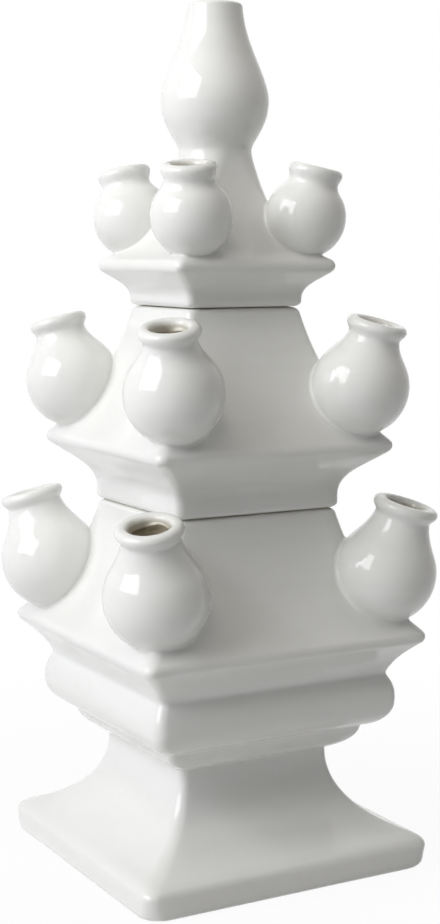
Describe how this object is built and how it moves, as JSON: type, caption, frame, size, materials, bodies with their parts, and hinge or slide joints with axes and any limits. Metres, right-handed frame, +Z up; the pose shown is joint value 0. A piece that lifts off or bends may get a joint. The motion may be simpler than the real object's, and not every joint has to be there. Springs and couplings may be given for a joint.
{
  "type": "tulipiere",
  "caption": "Square flower pyramid in white glazed ceramic: stacked lift-off tiers with bulb spouts at their corners, a flared foot and a gourd-shaped bottle neck.",
  "frame": {"origin": "centre of the foot's underside, on the surface that it stands on", "axes": "+Z up the axis; the square sides are along X and Y, with the front corner towards -X and -Y"},
  "size_m": [0.1684, 0.1615, 0.3995],
  "materials": {
    "glaze": "glossy white glaze",
    "biscuit": "unglazed, matt cream body"
  },
  "bodies": {
    "lower_tier": {"pedestal_foot": "glaze", "lower_tier_body": "glaze", "lower_spout_front": "glaze", "lower_spout_right": "glaze", "lower_spout_back": "glaze", "lower_spout_left": "glaze"},
    "middle_tier": {"middle_tier_body": "glaze", "middle_locating_ring": "biscuit", "middle_spout_front": "glaze", "middle_spout_right": "glaze", "middle_spout_back": "glaze", "middle_spout_left": "glaze"},
    "top_tier": {"top_tier_body": "glaze", "top_locating_ring": "biscuit", "top_spout_front": "glaze", "top_spout_right": "glaze", "top_spout_back": "glaze", "top_spout_left": "glaze", "bottle_neck": "glaze"}
  },
  "joints": [
    {"name": "middle_lift", "type": "slide", "parent": "lower_tier", "child": "middle_tier", "axis": [0, 0, 1], "range_m": [0, 0.08]},
    {"name": "top_lift", "type": "slide", "parent": "middle_tier", "child": "top_tier", "axis": [0, 0, 1], "range_m": [0, 0.08]}
  ]
}
